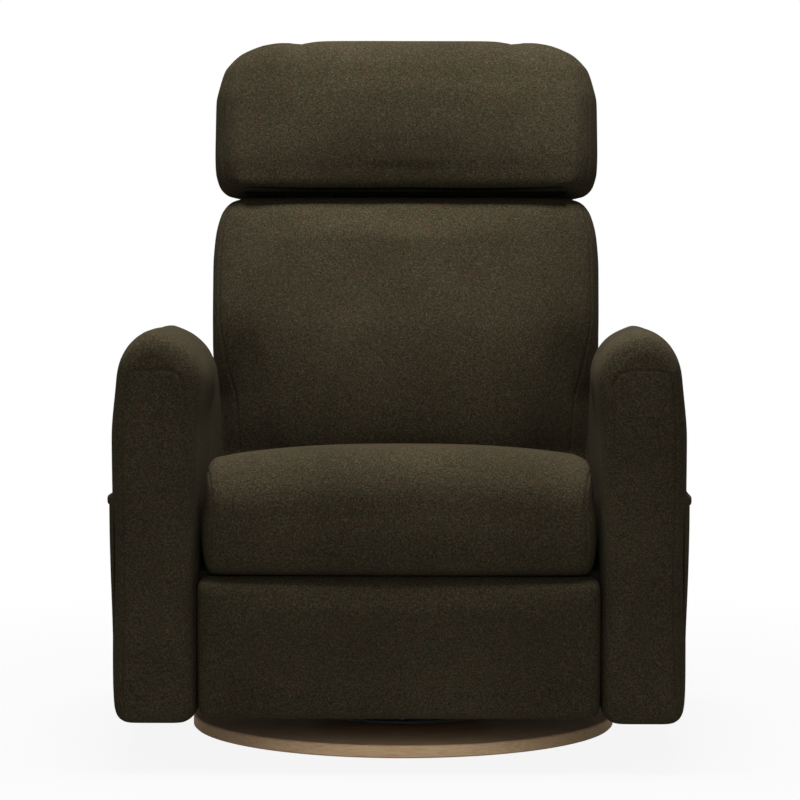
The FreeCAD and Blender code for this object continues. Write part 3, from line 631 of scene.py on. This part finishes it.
def leanArm(point):
    # the arch of each arm stands a little towards the seat and is fuller outside, less so at its rear
    s = armSettings
    x = abs(point.x)
    amount = rampedOver(point.z, s["height"]) * rampedOver(point.y, s["depth"])
    fuller = math.exp(-((x - s["fillPlace"]) / s["fillWidth"]) ** 2) * rampedOver(point.z, s["fillHeight"])
    shift = (s["shift"] + s["innerShift"] * rampedOver(x, s["inner"])) * amount
    return Vector((point.x - math.copysign(shift, point.x), point.y,
                   point.z + (s["raise"] + s["fill"] * fuller) * amount))


forms = {"seatCushion": rollSeat, "legrestPad": roundLegrest, "armPadLeft": leanArm, "armPadRight": leanArm,
         "rearPanel": widenPanel, "backShell": fillShell,
         "headrestCushion": lambda p: dipTop(fillCleft(p, True)),
         "backCushion": lambda p: crownBack(fillSides(fillCleft(p, False)))}
for name, pad in pads.items():
    obj = made[name]
    for vert in obj.data.vertices:
        vert.co = forms[name](vert.co)
    addEase(obj, puffSettings["lastEase"])
    finer = obj.modifiers.new("finer", "SUBSURF")
    finer.levels = 1
    finer.render_levels = 1
    applied(obj)
    dress(obj, oliveFelt)
    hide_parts(pad["node"])
    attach(obj, pad["body"])
print("pads finished")


# seams are pressed into the cloth and sewn with small stitches

seamSettings = {"grooveDepth": 0.0013, "grooveWidth": 0.0034, "fineWithin": 0.0085, "step": 0.002,
                "pitch": 0.0042, "stitchLength": 0.0031, "stitchThickness": 0.0014, "stitchRise": 0.0003}


def surfaceOf(obj):
    shape = bmesh.new()
    shape.from_mesh(obj.data)
    tree = BVHTree.FromBMesh(shape)
    shape.free()
    return tree


def spread(points, step):
    # evenly spaced points along a run of straight pieces
    line = [Vector(p) for p in points]
    out = [line[0]]
    for start, end in zip(line, line[1:]):
        count = max(1, round((end - start).length / step))
        out += [start.lerp(end, k / count) for k in range(1, count + 1)]
    return out


def onSurface(tree, points):
    return [tree.find_nearest(point)[:2] for point in points]


def placesOf(line):
    places = KDTree(len(line))
    for index, (place, normal) in enumerate(line):
        places.insert(place, index)
    places.balance()
    return places


def refineAlong(obj, places):
    # finer faces beside a seam, so that its groove is crisp
    shape = bmesh.new()
    shape.from_mesh(obj.data)
    near = {v for v in shape.verts if places.find(v.co)[2] < seamSettings["fineWithin"]}
    edges = [e for e in shape.edges if e.verts[0] in near and e.verts[1] in near]
    bmesh.ops.subdivide_edges(shape, edges=edges, cuts=2, use_grid_fill=True)
    shape.normal_update()
    shape.to_mesh(obj.data)
    shape.free()


def pressGroove(obj, places):
    verts = obj.data.vertices
    width = seamSettings["grooveWidth"]
    for vert, normal in zip(verts, [v.normal.copy() for v in verts]):
        near = places.find(vert.co)[2]
        if near < width:
            fall = 1.0 - (near / width) ** 2
            vert.co -= normal * seamSettings["grooveDepth"] * fall * fall


def newRepeatTree(name, sizes, finish):
    # a Geometry Nodes tree with named inputs, which ends in real copies with one material
    tree = bpy.data.node_groups.new(name, "GeometryNodeTree")
    face = tree.interface
    face.new_socket("Geometry", in_out="INPUT", socket_type="NodeSocketGeometry")
    for label in sizes:
        face.new_socket(label, in_out="INPUT", socket_type="NodeSocketFloat")
    face.new_socket(finish, in_out="INPUT", socket_type="NodeSocketMaterial")
    face.new_socket("Geometry", in_out="OUTPUT", socket_type="NodeSocketGeometry")
    gIn, gOut = tree.nodes.new("NodeGroupInput"), tree.nodes.new("NodeGroupOutput")
    place = tree.nodes.new("GeometryNodeInstanceOnPoints")
    real = addNode(tree, "GeometryNodeRealizeInstances", {"Geometry": place.outputs["Instances"]})
    paint = addNode(tree, "GeometryNodeSetMaterial",
                    {"Geometry": real.outputs["Geometry"], "Material": gIn.outputs[finish]})
    tree.links.new(paint.outputs["Geometry"], gOut.inputs["Geometry"])
    return tree, gIn, place


def buildStitchTree():
    tree, gIn, place = newRepeatTree("stitches", ("Pitch", "Length", "Thickness"), "Thread")
    curve = addNode(tree, "GeometryNodeMeshToCurve", {"Mesh": gIn.outputs["Geometry"]})
    points = addNode(tree, "GeometryNodeCurveToPoints", mode="LENGTH")
    tree.links.new(curve.outputs["Curve"], points.inputs["Curve"])
    tree.links.new(gIn.outputs["Pitch"], points.inputs["Length"])
    bead = addNode(tree, "GeometryNodeMeshUVSphere", Segments=6, Rings=5, Radius=0.5)
    thick = gIn.outputs["Thickness"]
    size = addNode(tree, "ShaderNodeCombineXYZ", {"X": thick, "Y": thick, "Z": gIn.outputs["Length"]})
    tree.links.new(points.outputs["Points"], place.inputs["Points"])
    tree.links.new(points.outputs["Rotation"], place.inputs["Rotation"])
    tree.links.new(bead.outputs["Mesh"], place.inputs["Instance"])
    tree.links.new(size.outputs[0], place.inputs["Scale"])
    return tree


stitchTree = buildStitchTree()


def repeatWith(obj, tree, values):
    modifier = obj.modifiers.new(tree.name, "NODES")
    modifier.node_group = tree
    for item in tree.interface.items_tree:
        if item.in_out == "INPUT" and item.name in values:
            modifier[item.identifier] = values[item.name]
    applied(obj)


def sewStitches(name, lines, body):
    s = seamSettings
    mesh = bpy.data.meshes.new(name)
    verts, edges = [], []
    for line in lines:
        first = len(verts)
        verts += [place - normal * (s["grooveDepth"] - s["stitchRise"]) for place, normal in line]
        edges += [(k, k + 1) for k in range(first, len(verts) - 1)]
    mesh.from_pydata(verts, edges, [])
    obj = newObject(name, mesh)
    repeatWith(obj, stitchTree, {"Pitch": s["pitch"], "Length": s["stitchLength"],
                                 "Thickness": s["stitchThickness"], "Thread": seamThread})
    obj.data.shade_smooth()
    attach(obj, body)


# points that a seam runs through: across and height, depth and height, or all three
seamPoints = {
    "armFront": -0.430,
    "arm": ((0.389, 0.105), (0.389, 0.470), (0.386, 0.520), (0.383, 0.545), (0.376, 0.558), (0.363, 0.563),
            (0.318, 0.564), (0.303, 0.558), (0.294, 0.545), (0.290, 0.520), (0.288, 0.480), (0.286, 0.440)),
    "seatAcross": 0.267,
    "seat": ((-0.414, 0.300), (-0.420, 0.380), (-0.412, 0.402), (-0.385, 0.416),
             (-0.20, 0.425), (0.08, 0.420)),
    "back": ((0.272, -0.050, 0.060), (0.276, -0.055, 0.190), (0.292, -0.055, 0.290), (0.295, -0.055, 0.400),
             (0.291, -0.052, 0.470), (0.280, -0.040, 0.492)),
    "head": ((0.276, -0.040, 0.508), (0.288, -0.050, 0.530), (0.292, -0.054, 0.640), (0.280, -0.052, 0.700),
             (0.240, -0.046, 0.736), (0.165, -0.036, 0.746), (0.160, 0.0, 0.749)),
    "shellDepth": 0.085,
    "shell": ((0.246, 0.020), (0.248, 0.170), (0.266, 0.290), (0.268, 0.440), (0.256, 0.468), (0.232, 0.476)),
    "panelHalf": 0.276,
    "panel": (0.240, 0.202),
}


def armSeam(side):
    # outline of the panel on the arm's front, from the outer foot over the top to the inner foot
    return [(side * x, seamPoints["armFront"], z) for x, z in seamPoints["arm"]]


def seatSeam(side):
    return [(side * seamPoints["seatAcross"], y, z) for y, z in seamPoints["seat"]]


def leanedSeam(side, points):
    return [Vector((side * x, 0, 0)) + leanedPoint(depth, height) for x, depth, height in points]


def shellSeam():
    # the cover's join runs round the back shell, a little in from its edge
    half = [(x, seamPoints["shellDepth"], height) for x, height in seamPoints["shell"]]
    return leanedSeam(1, half) + leanedSeam(-1, reversed(half))


def shellHem():
    x, height = seamPoints["shell"][0]
    return [Vector((side * x, 0, 0)) + leanedPoint(seamPoints["shellDepth"], height) for side in (-1, 1)]


def panelHem():
    return [(side * seamPoints["panelHalf"], *seamPoints["panel"]) for side in (-1, 1)]


backPoints, headPoints = seamPoints["back"], seamPoints["head"]
seams = {"armStitches": ("chassis", [("armPadLeft", armSeam(-1)), ("armPadRight", armSeam(1))]),
         "seatStitches": ("chassis", [("seatCushion", seatSeam(side)) for side in (-1, 1)]),
         "backStitches": ("back", [("backCushion", leanedSeam(side, backPoints)) for side in (-1, 1)]),
         "headStitches": ("headrest", [("headrestCushion", leanedSeam(side, headPoints))
                                       for side in (-1, 1)]),
         "shellStitches": ("back", [("backShell", shellSeam()), ("backShell", shellHem())]),
         "panelStitches": ("chassis", [("rearPanel", panelHem())])}
for name, (body, runs) in seams.items():
    lines = []
    for piece, points in runs:
        line = onSurface(surfaceOf(made[piece]), spread(points, seamSettings["step"]))
        places = placesOf(line)
        refineAlong(made[piece], places)
        pressGroove(made[piece], places)
        lines.append(line)
    sewStitches(name, lines, body)
print("seams sewn")


# side pockets, and the welt in the neck

pocketSettings = {"face": 0.397, "low": 0.168, "high": 0.382, "front": -0.396, "rear": -0.062,
                  "cells": (96, 60), "cloth": 0.0016, "sag": 0.005, "bulge": 0.0078, "bulgeEnds": 0.10,
                  "bulgePower": 2.2,
                  "fold": 0.0006, "foldsAlong": 26.0, "foldsUp": 7.0, "foldSeed": 3.0, "foot": 0.0012,
                  "footRise": 0.06, "footEnds": 0.03, "stretch": 1.01}
hemSettings = {"tall": 0.0125, "thick": 0.0034, "ring": 14, "ends": 0.05, "endShare": 0.35, "squareness": 0.7,
               "above": 0.002}


def easeEnds(t, ends):
    edge = min(t, 1.0 - t) / ends
    return 1.0 if edge >= 1.0 else math.sin(edge * math.pi / 2)


def pocketPoint(side, along, up):
    s = pocketSettings
    y = s["front"] + (s["rear"] - s["front"]) * along
    top = s["high"] - s["sag"] * math.sin(math.pi * along) ** 2
    z = s["low"] + (top - s["low"]) * up
    swell = easeEnds(along, s["bulgeEnds"]) * (1.0 - (1.0 - up) ** s["bulgePower"])
    fold = s["fold"] * noise.noise(Vector((y * s["foldsAlong"], z * s["foldsUp"],
                                           side * s["foldSeed"]))) * swell
    foot = s["foot"] * ramped(up / s["footRise"]) * ramped(min(along, 1.0 - along) / s["footEnds"])
    return Vector((side * (s["face"] + foot + (s["bulge"] - s["cloth"]) * swell + fold), y, z))


def squared(value):
    # flattens a circle's curve towards a square's
    return math.copysign(abs(value) ** hemSettings["squareness"], value)


def addHem(side):
    # a folded band round the pocket's mouth
    s = hemSettings
    across = pocketSettings["cells"][0]
    rings = []
    for i in range(across + 1):
        centre = pocketPoint(side, i / across, 1.0)
        slim = s["endShare"] + (1.0 - s["endShare"]) * easeEnds(i / across, s["ends"])
        turns = [2 * math.pi * k / s["ring"] for k in range(s["ring"])]
        rings.append([centre + Vector((side * squared(math.cos(turn)) * s["thick"] * slim, 0.0,
                                       squared(math.sin(turn)) * s["tall"] / 2 - s["tall"] / 2 + s["above"]))
                      for turn in turns])
    obj = addTube("hem" + bySide(side).capitalize(), rings)
    dress(obj, oliveFelt)
    return obj


def addPocket(side):
    s = pocketSettings
    across, rise = s["cells"]
    verts = [pocketPoint(side, i / across, k / rise) for k in range(rise + 1) for i in range(across + 1)]
    faces = [quad if side > 0 else quad[::-1] for quad in gridFaces(across, rise)]
    obj = newPiece("pocket" + bySide(side).capitalize(), verts, faces)
    thicken(obj, s["cloth"])
    dress(obj, oliveFelt)
    hem = addHem(side)
    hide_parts("arm_pocket_" + bySide(side))
    for piece in (obj, hem):
        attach(piece, "chassis")


for side in (-1, 1):
    addPocket(side)

neckSettings = {"radius": 0.0060, "half": 0.250, "depth": -0.052, "height": 0.501, "along": 120, "ring": 16,
                "ends": 0.02, "endShare": 0.25}


def addNeckWelt():
    # a cloth-covered cord along the headrest hinges' axis, which hides their knuckles; its near-black cloth
    # is painted shade for the dark cleft under the headrest
    s = neckSettings
    rings = []
    for i in range(s["along"] + 1):
        t = i / s["along"]
        middle = Vector((s["half"] * (2 * t - 1), 0, 0))
        radius = s["radius"] * (s["endShare"] + (1.0 - s["endShare"]) * easeEnds(t, s["ends"]))
        turns = [2 * math.pi * k / s["ring"] for k in range(s["ring"])]
        rings.append([middle + leanedPoint(s["depth"] + radius * math.cos(turn),
                                           s["height"] + radius * math.sin(turn))
                      for turn in turns])
    obj = addTube("neckWelt", rings)
    dress(obj, shadeBlackNeckCloth)
    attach(obj, "back")


addNeckWelt()
print("pockets and neck welt made")


flapSettings = {"half": 0.274, "depth": 0.2166, "low": 0.196, "high": 0.271, "thick": 0.0014,
                "cells": (110, 22), "ripple": 0.0007, "ripplesAcross": 16.0, "ripplesUp": 1.5,
                "rippleSeed": 4.0,
                "blendLow": 0.217, "blendHigh": 0.264}


def flapPoint(across, up):
    s = flapSettings
    x = s["half"] * (2 * across - 1)
    wave = noise.noise(Vector((x * s["ripplesAcross"], up * s["ripplesUp"], s["rippleSeed"])))
    return Vector((x, s["depth"] + s["ripple"] * wave * math.sin(math.pi * up),
                   s["low"] + (s["high"] - s["low"]) * up))


def addRearFlap():
    # a cloth flap closes the gap between the back and the rear panel
    s = flapSettings
    across, rise = s["cells"]
    verts = [flapPoint(i / across, k / rise) for k in range(rise + 1) for i in range(across + 1)]
    obj = newPiece("rearFlap", verts, [quad[::-1] for quad in gridFaces(across, rise)])
    thicken(obj, s["thick"])
    dress(obj, oliveFelt)
    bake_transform(obj)


addRearFlap()
print("rear flap hung")


# retaining clips on the linkage's pins: body, pin centres in the side view, place across and size
clipSettings = {"radius": 0.0076, "thickness": 0.0016, "corners": 18,
                "pins": {"rearClips": ("rear_links", [(-0.155, 0.131), (-0.145, 0.087)], 0.2350, 1.0),
                         "controlClips": ("control_links", [(-0.075, 0.131)], 0.2350, 1.0),
                         "legrestClips": ("legrest", [(-0.340, 0.246), (-0.330, 0.202)], 0.2410, 1.0),
                         "plateClips": ("chassis", [(-0.170, 0.250), (0.165, 0.290)], 0.2420, 1.3)}}


def buildClipTree():
    tree, gIn, place = newRepeatTree("clips", ("Radius", "Thickness", "Size"), "Finish")
    disc = addNode(tree, "GeometryNodeMeshCylinder",
                   {"Radius": gIn.outputs["Radius"], "Depth": gIn.outputs["Thickness"]},
                   Vertices=clipSettings["corners"])
    wide = gIn.outputs["Size"]
    size = addNode(tree, "ShaderNodeCombineXYZ", {"X": wide, "Y": wide}, Z=1.0)
    place.inputs["Rotation"].default_value = (0.0, math.pi / 2, 0.0)
    tree.links.new(gIn.outputs["Geometry"], place.inputs["Points"])
    tree.links.new(disc.outputs["Mesh"], place.inputs["Instance"])
    tree.links.new(size.outputs[0], place.inputs["Scale"])
    return tree


def addClips():
    tree = buildClipTree()
    for name, (body, pins, across, size) in clipSettings["pins"].items():
        obj = newPiece(name, [(side * across, y, z) for side in (-1, 1) for y, z in pins], [])
        repeatWith(obj, tree, {"Radius": clipSettings["radius"], "Thickness": clipSettings["thickness"],
                               "Size": size, "Finish": zincSteel})
        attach(obj, body)


addClips()
print("pins clipped")


def addSprings():
    # the rocker's coil springs, welded into one piece that rides on the turntable
    shape = weldedShape("rocker_springs")
    mesh = bpy.data.meshes.new("rockerSprings")
    shape.to_mesh(mesh)
    shape.free()
    obj = newObject("rockerSprings", mesh)
    dress(obj, zincSteel)
    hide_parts("rocker_springs")
    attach(obj, "turntable")
    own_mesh(obj)


addSprings()
print("springs set")


# floor, light and camera

white = (1.0, 1.0, 1.0, 1.0)
floorSettings = {"reach": 120.0, "tone": (0.3, 0.3, 0.3, 1.0), "roughness": 0.9, "whiterFrom": 0.4,
                 "whiterTo": 1.6, "nearWhite": 0.90}
skyFill = 0.13
lampSettings = {"top": ((0.0, -0.33, 3.2), (0.0, -0.33, 0.4), (1.5, 0.9), 182.0),
                "front": ((0.0, -4.6, 1.7), (0.0, 0.0, 0.4), (3.0, 1.6), 63.0)}
view = {"distance": 5.79, "height": 0.966, "azimuth": 0.9, "focalPixels": 3908.0, "horizonRow": 76.6,
        "originColumn": 403.3, "frame": 800.0, "sensor": 36.0, "clipEnd": 200.0}


def seenByEye(tree):
    # 1 for the rays that show the backdrop, 0 for those that only carry its light
    path = tree.nodes.new("ShaderNodeLightPath")
    seen = mathNode(tree, "MAXIMUM", path.outputs["Is Camera Ray"], path.outputs["Is Glossy Ray"])
    return mathNode(tree, "MAXIMUM", seen, path.outputs["Is Transmission Ray"])


def addStage():
    # a white floor that keeps a little of the chair's shadow
    s = floorSettings
    reach = s["reach"]
    floor = newPiece("floor", [(-reach, -reach, 0), (reach, -reach, 0), (reach, reach, 0),
                               (-reach, reach, 0)],
                     [(0, 1, 2, 3)])
    material, tree, shader, coords = newMaterial("paleFloor")
    shader.inputs["Base Color"].default_value = s["tone"]
    shader.inputs["Roughness"].default_value = s["roughness"]
    glow = addNode(tree, "ShaderNodeEmission", Strength=1.0, Color=white)
    away = addNode(tree, "ShaderNodeVectorMath", {0: coords}, operation="LENGTH")
    whiter = addNode(tree, "ShaderNodeMapRange", {"Value": away.outputs["Value"]}, From_Min=s["whiterFrom"],
                     From_Max=s["whiterTo"], To_Min=s["nearWhite"], To_Max=1.0)
    blend = tree.nodes.new("ShaderNodeMixShader")
    tree.links.new(mathNode(tree, "MULTIPLY", seenByEye(tree), whiter.outputs[0]), blend.inputs[0])
    tree.links.new(shader.outputs[0], blend.inputs[1])
    tree.links.new(glow.outputs[0], blend.inputs[2])
    tree.links.new(blend.outputs[0], tree.nodes["Material Output"].inputs["Surface"])
    floor.data.materials.append(material)


def addWorld(fill):
    world = bpy.data.worlds.new("studio")
    scene.world = world
    world.use_nodes = True
    tree = world.node_tree
    sky = tree.nodes["Background"]
    sky.inputs["Color"].default_value = white
    strength = mathNode(tree, "ADD", mathNode(tree, "MULTIPLY", seenByEye(tree), 1.0 - fill), fill)
    tree.links.new(strength, sky.inputs["Strength"])


def addLamp(name, place, target, size, power):
    data = bpy.data.lights.new(name, "AREA")
    data.shape = "RECTANGLE"
    data.size, data.size_y = size
    data.energy = power
    lamp = newObject(name, data)
    lamp.location = place
    lamp.rotation_euler = (Vector(target) - Vector(place)).to_track_quat("-Z", "Y").to_euler()


def addCamera():
    data = bpy.data.cameras.new("camera")
    data.sensor_fit = "HORIZONTAL"
    data.sensor_width = view["sensor"]
    data.lens = view["sensor"] * view["focalPixels"] / view["frame"]
    data.clip_end = view["clipEnd"]
    camera = newObject("camera", data)
    azimuth = math.radians(view["azimuth"])
    camera.location = (view["distance"] * math.sin(azimuth), -view["distance"] * math.cos(azimuth),
                       view["height"])
    pitch = math.atan((view["frame"] / 2 - view["horizonRow"]) / view["focalPixels"])
    turn = math.atan((view["originColumn"] - view["frame"] / 2) / view["focalPixels"])
    camera.rotation_euler = (math.pi / 2 - pitch, 0.0, azimuth + turn)
    scene.camera = camera


addStage()
addWorld(skyFill)
for name, (place, target, size, power) in lampSettings.items():
    addLamp(name, place, target, size, power)
addCamera()
print("stage set")
